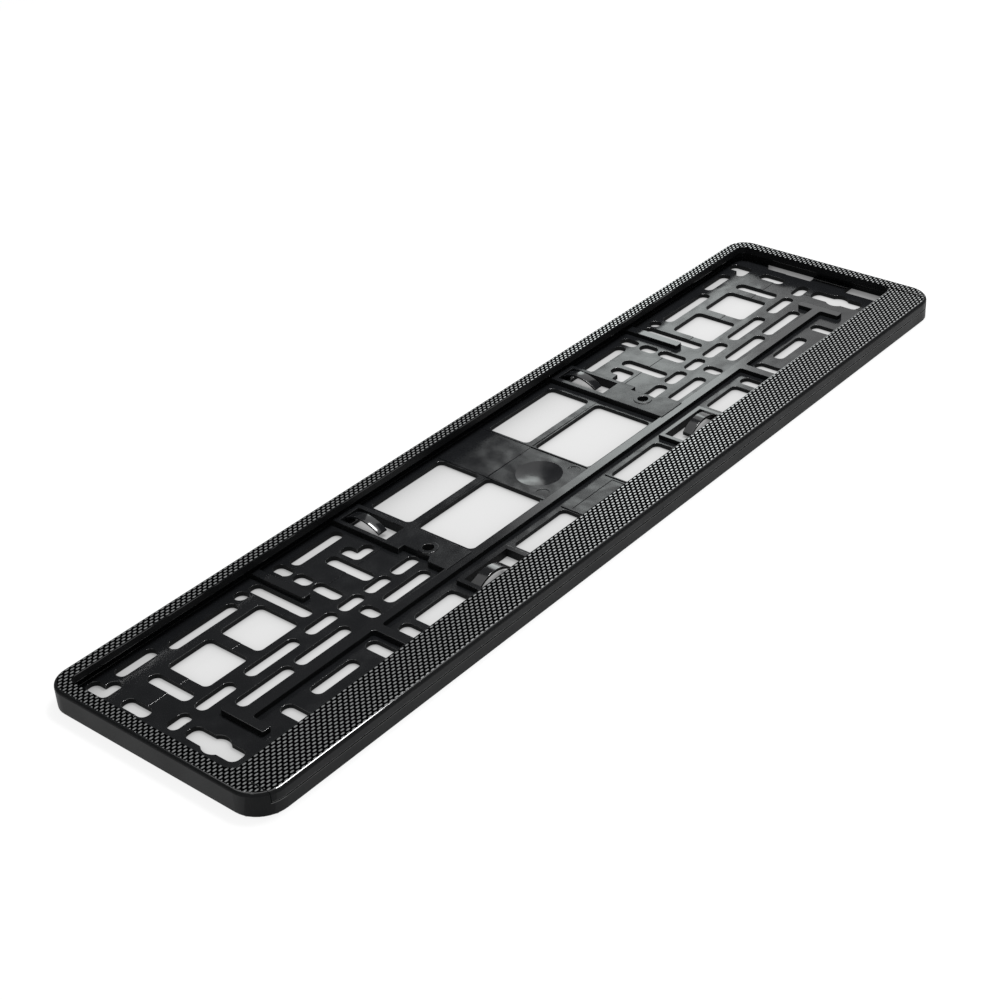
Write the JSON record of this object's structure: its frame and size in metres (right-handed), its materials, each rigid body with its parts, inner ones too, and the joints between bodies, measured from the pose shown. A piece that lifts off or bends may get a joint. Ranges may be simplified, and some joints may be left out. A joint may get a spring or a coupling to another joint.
{
  "type": "number plate holder",
  "caption": "Flat black plastic number plate holder with a pierced base, a hollow raised rim, spring tongues and a clipped-on bottom strip, the front faces printed with a carbon weave.",
  "frame": {"origin": "middle of the back face of the holder, lying on its back", "axes": "+X to the right seen from the front, +Y to the top rim, +Z out of the front"},
  "size_m": [0.532, 0.1332, 0.0117],
  "materials": {
    "base_plastic": "satin black, glossy inside the pocket, carbon weave print on the front of the rim",
    "strip_plastic": "satin black with a carbon weave print on the front"
  },
  "bodies": {
    "root": {"base": "base_plastic", "strip": "strip_plastic"}
  },
  "joints": []
}
